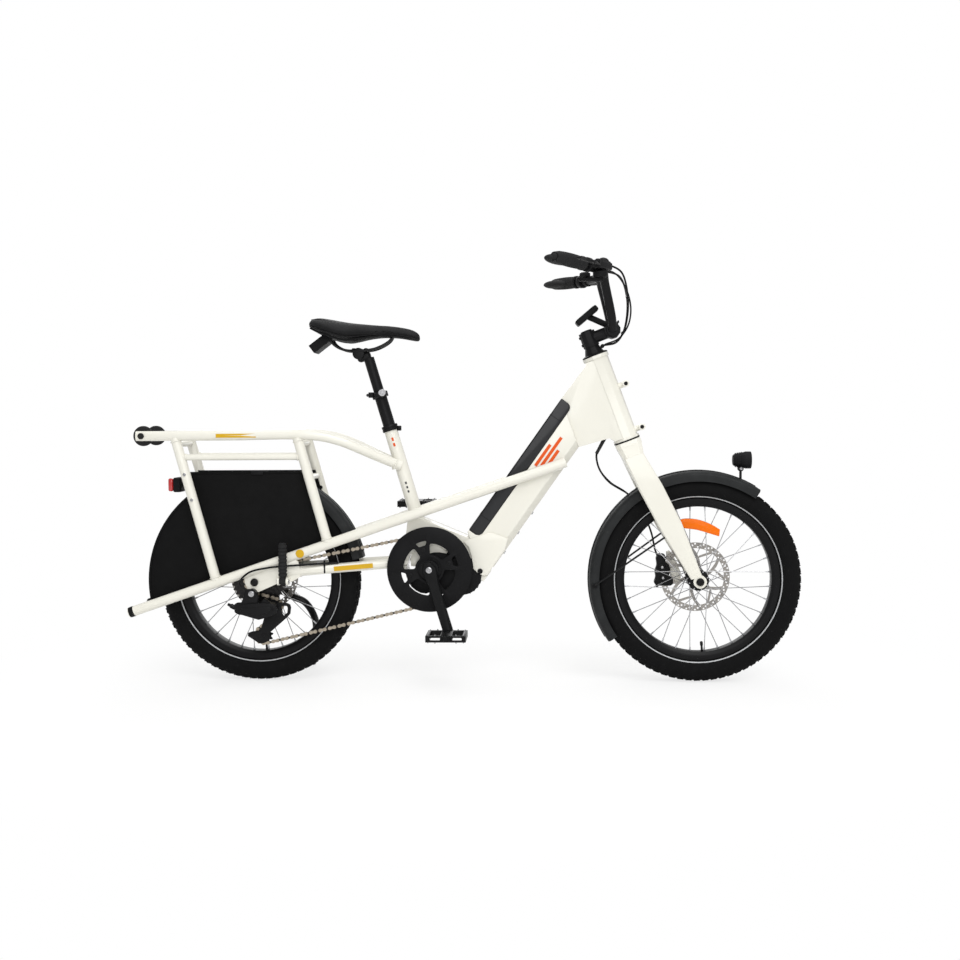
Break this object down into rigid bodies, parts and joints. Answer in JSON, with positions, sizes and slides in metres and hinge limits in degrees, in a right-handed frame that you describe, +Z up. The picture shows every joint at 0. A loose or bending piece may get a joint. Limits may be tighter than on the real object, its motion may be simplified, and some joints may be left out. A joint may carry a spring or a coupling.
{
  "type": "longtail cargo bike",
  "caption": "Compact longtail cargo bike with a mid drive motor, a long rear rack with wheel skirts, folding footpegs, a side stand and swept handlebar.",
  "frame": {"origin": "on the floor, under the middle of the bike's box", "axes": "+X forward, the way the bike rides, +Y to the rider's left, +Z up"},
  "size_m": [1.73, 0.6406, 1.0715],
  "materials": {
    "tyre_rubber": "moulded tread",
    "black_metal": "black anodised",
    "bright_steel": "brushed",
    "chain_steel": "oiled",
    "frame_paint": "gloss cream paint",
    "gloss_plastic": "glossy",
    "saddle_cover": "fine grained cover",
    "grip_rubber": "matt",
    "red_lens": "clear red lens",
    "skirt_plastic": "matt",
    "black_plastic": "fine grain",
    "hose": "smooth sleeve",
    "black_paint": "satin black paint"
  },
  "bodies": {
    "frame": {"head_tube": "frame_paint", "down_tube": "frame_paint", "motor_housing": "black_metal", "seat_tube": "frame_paint", "top_rail_right": "frame_paint", "top_rail_left": "frame_paint", "lower_rail_right": "frame_paint", "lower_rail_left": "frame_paint", "rack_hoops": "frame_paint", "chainstay_right": "frame_paint", "chainstay_left": "frame_paint", "skirt_right": "skirt_plastic", "skirt_left": "skirt_plastic", "rear_fender": "black_plastic", "rear_light": "red_lens", "rear_axle": "bright_steel", "rear_caliper": "black_metal", "rear_cable": "hose", "chain": "chain_steel"},
    "steering": {"fork": "frame_paint", "front_axle": "bright_steel", "front_caliper": "black_metal", "front_fender": "black_plastic", "headlight": "black_plastic", "stem": "black_metal", "handlebar": "black_metal", "grip_right": "grip_rubber", "grip_left": "grip_rubber", "display": "gloss_plastic", "bar_hoses": "hose", "front_hose": "hose"},
    "front_wheel": {"front_tyre": "tyre_rubber", "front_rim": "black_metal", "front_rotor": "bright_steel"},
    "rear_wheel": {"rear_tyre": "tyre_rubber", "rear_rim": "black_metal", "rear_hub": "black_metal", "rear_rotor": "bright_steel"},
    "freehub": {"cassette": "bright_steel"},
    "cranks": {"crank_right": "black_metal", "crank_left": "black_metal", "chainring": "black_metal"},
    "right_pedal": {"pedal_right": "black_metal"},
    "left_pedal": {"pedal_left": "black_metal"},
    "derailleur": {"derailleur_body": "black_metal"},
    "cage": {"derailleur_cage": "black_metal"},
    "upper_pulley": {"guide_pulley": "black_plastic"},
    "lower_pulley": {"tension_pulley": "black_plastic"},
    "right_brake_lever": {"brake_lever_right": "black_metal"},
    "left_brake_lever": {"brake_lever_left": "black_metal"},
    "gear_lever": {"shift_lever": "black_plastic"},
    "lower_post": {"seatpost_lower": "black_metal"},
    "upper_post": {"seatpost_upper": "black_metal", "saddle": "saddle_cover"},
    "quick_release": {"qr_lever": "black_metal"},
    "battery": {"battery_pack": "gloss_plastic"},
    "stand": {"kickstand": "black_paint"},
    "right_footpeg": {"footpeg_right": "grip_rubber"},
    "left_footpeg": {"footpeg_left": "grip_rubber"},
    "rollers": {"parking_rollers": "grip_rubber"}
  },
  "joints": [
    {"name": "steering_turn", "type": "hinge", "parent": "frame", "child": "steering", "pos_m": [0.34005, 0, 0.839], "axis": [-0.3502, 0, 0.9367], "range_deg": [-60, 60], "deforming": ["front_hose"]},
    {"name": "front_wheel_spin", "type": "hinge", "parent": "steering", "child": "front_wheel", "pos_m": [0.60105, 0, 0.264], "axis": [0, 1, 0], "continuous": true},
    {"name": "rear_wheel_spin", "type": "hinge", "parent": "frame", "child": "rear_wheel", "pos_m": [-0.53495, 0, 0.264], "axis": [0, 1, 0], "continuous": true},
    {"name": "crank_spin", "type": "hinge", "parent": "frame", "child": "cranks", "pos_m": [-0.08595, 0, 0.295], "axis": [0, 1, 0], "continuous": true, "deforming": ["chain"]},
    {"name": "cassette_spin", "type": "hinge", "parent": "frame", "child": "freehub", "pos_m": [-0.53495, 0, 0.264], "axis": [0, 1, 0], "continuous": true},
    {"name": "right_pedal_spin", "type": "hinge", "parent": "cranks", "child": "right_pedal", "pos_m": [-0.03634, 0, 0.13764], "axis": [0, 1, 0], "continuous": true},
    {"name": "left_pedal_spin", "type": "hinge", "parent": "cranks", "child": "left_pedal", "pos_m": [-0.13557, 0, 0.45236], "axis": [0, 1, 0], "continuous": true},
    {"name": "derailleur_shift", "type": "slide", "parent": "frame", "child": "derailleur", "axis": [0, 0.6, -0.8], "range_m": [-0.015, 0.0375]},
    {"name": "cage_swing", "type": "hinge", "parent": "derailleur", "child": "cage", "pos_m": [-0.49195, 0, 0.197], "axis": [0, 1, 0], "range_deg": [-80, 20], "stiffness_Nm_per_rad": 1.5},
    {"name": "upper_pulley_spin", "type": "hinge", "parent": "cage", "child": "upper_pulley", "pos_m": [-0.49195, 0, 0.197], "axis": [0, 1, 0], "continuous": true},
    {"name": "lower_pulley_spin", "type": "hinge", "parent": "cage", "child": "lower_pulley", "pos_m": [-0.51827, 0, 0.12358], "axis": [0, 1, 0], "continuous": true},
    {"name": "right_brake_squeeze", "type": "hinge", "parent": "steering", "child": "right_brake_lever", "pos_m": [0.33643, -0.22051, 1.04573], "axis": [0, 0, -1], "range_deg": [0, 14], "stiffness_Nm_per_rad": 1},
    {"name": "left_brake_squeeze", "type": "hinge", "parent": "steering", "child": "left_brake_lever", "pos_m": [0.33643, 0.22051, 1.04573], "axis": [0, 0, 1], "range_deg": [0, 14], "stiffness_Nm_per_rad": 1},
    {"name": "gear_lever_push", "type": "hinge", "parent": "steering", "child": "gear_lever", "pos_m": [0.34508, -0.17207, 1.02797], "axis": [0, 0, 1], "range_deg": [-15, 15], "stiffness_Nm_per_rad": 0.4},
    {"name": "lower_post_slide", "type": "slide", "parent": "frame", "child": "lower_post", "axis": [-0.284, 0, 0.9588], "range_m": [-0.055, 0.06]},
    {"name": "upper_post_slide", "type": "slide", "parent": "lower_post", "child": "upper_post", "axis": [-0.284, 0, 0.9588], "range_m": [-0.066, 0.06]},
    {"name": "quick_release_open", "type": "hinge", "parent": "lower_post", "child": "quick_release", "pos_m": [-0.23622, -0.024, 0.742], "axis": [0, 0, 1], "range_deg": [0, 150]},
    {"name": "battery_lift", "type": "slide", "parent": "frame", "child": "battery", "axis": [-0.8151, 0, 0.5793], "range_m": [0, 0.12]},
    {"name": "stand_fold", "type": "hinge", "parent": "frame", "child": "stand", "pos_m": [-0.51295, 0.09, 0.246], "axis": [0, 1, 0], "range_deg": [0, 110]},
    {"name": "right_footpeg_fold", "type": "hinge", "parent": "frame", "child": "right_footpeg", "pos_m": [-0.45695, -0.0968, 0.269], "axis": [1, 0, 0], "range_deg": [0, 90]},
    {"name": "left_footpeg_fold", "type": "hinge", "parent": "frame", "child": "left_footpeg", "pos_m": [-0.45695, 0.0968, 0.269], "axis": [1, 0, 0], "range_deg": [-90, 0]},
    {"name": "roller_spin", "type": "hinge", "parent": "frame", "child": "rollers", "pos_m": [-0.82395, 0, 0.64], "axis": [0, 1, 0], "continuous": true}
  ],
  "couplings": [
    {"joint": "cassette_spin", "follows": "crank_spin", "ratio": 2.9333},
    {"joint": "upper_pulley_spin", "follows": "crank_spin", "ratio": -4},
    {"joint": "lower_pulley_spin", "follows": "crank_spin", "ratio": 4}
  ]
}
